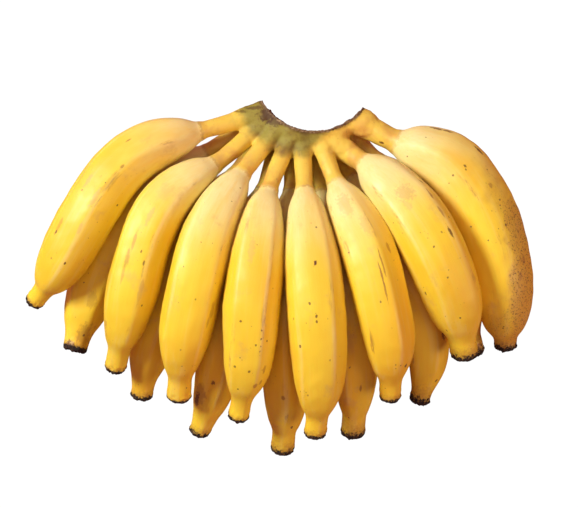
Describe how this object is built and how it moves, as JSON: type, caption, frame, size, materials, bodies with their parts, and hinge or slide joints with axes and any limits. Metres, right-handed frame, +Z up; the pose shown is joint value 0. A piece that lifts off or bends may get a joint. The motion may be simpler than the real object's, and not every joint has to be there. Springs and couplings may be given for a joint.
{
  "type": "hand of bananas",
  "caption": "Hand of small ripe bananas, lying on its tips and crown with the fingers arched in two rows from one cut crown; a prop for kitchens, fruit bowls and market displays.",
  "frame": {"origin": "middle of the hand's footprint, on the surface that it lies on", "axes": "+Z up, +Y from the tips towards the cut crown, +X along the hand's length, to the right when it is seen from above with the crown away from the viewer"},
  "size_m": [0.2946, 0.2076, 0.0825],
  "materials": {
    "peel": "smooth, waxy satin banana peel with freckles and rubbed ridges",
    "crown": "matte olive-green and brown crown flesh with a dry fibrous cut"
  },
  "bodies": {
    "root": {"crown": "crown", "finger_front_1": "peel", "finger_front_2": "peel", "finger_front_3": "peel", "finger_front_4": "peel", "finger_front_5": "peel", "finger_front_6": "peel", "finger_front_7": "peel", "finger_front_8": "peel", "finger_back_1": "peel", "finger_back_2": "peel", "finger_back_3": "peel", "finger_back_4": "peel", "finger_back_5": "peel", "finger_back_6": "peel", "finger_back_7": "peel"}
  },
  "joints": []
}
